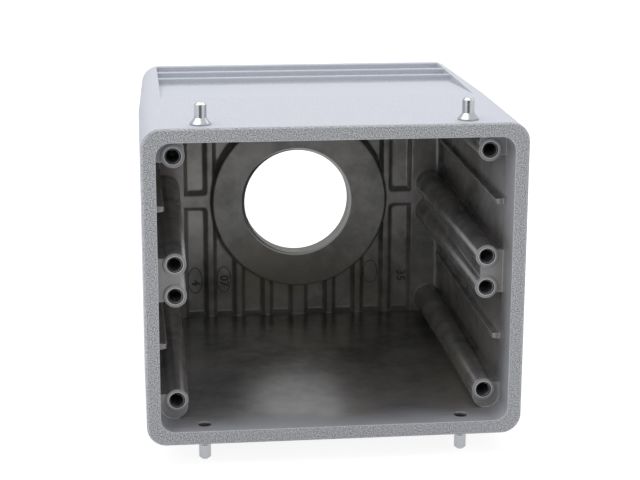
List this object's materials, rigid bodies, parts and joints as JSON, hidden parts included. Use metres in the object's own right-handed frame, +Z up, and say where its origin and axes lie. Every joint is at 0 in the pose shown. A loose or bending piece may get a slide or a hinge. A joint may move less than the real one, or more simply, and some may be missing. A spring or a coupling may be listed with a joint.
{
  "type": "connector housing",
  "caption": "Die-cast rectangular connector hood with a rear threaded cable entry, insert screw columns inside and turned locking pegs on its long sides.",
  "frame": {"origin": "on the floor under the middle of the hood, level with the tips of the lower pegs", "axes": "+Y from the mating opening towards the cable entry, +Z up across the long sides, +X to the right seen from the mating side"},
  "size_m": [0.093, 0.0944, 0.0898],
  "materials": {
    "coated_casting": "die-cast, light grey powder coat outside, bare cast metal deep inside",
    "turned_steel": "turned and polished, pressed in"
  },
  "bodies": {
    "root": {"hood_body": "coated_casting", "peg_top_left": "turned_steel", "peg_top_right": "turned_steel", "peg_bottom_left": "turned_steel", "peg_bottom_right": "turned_steel"}
  },
  "joints": []
}
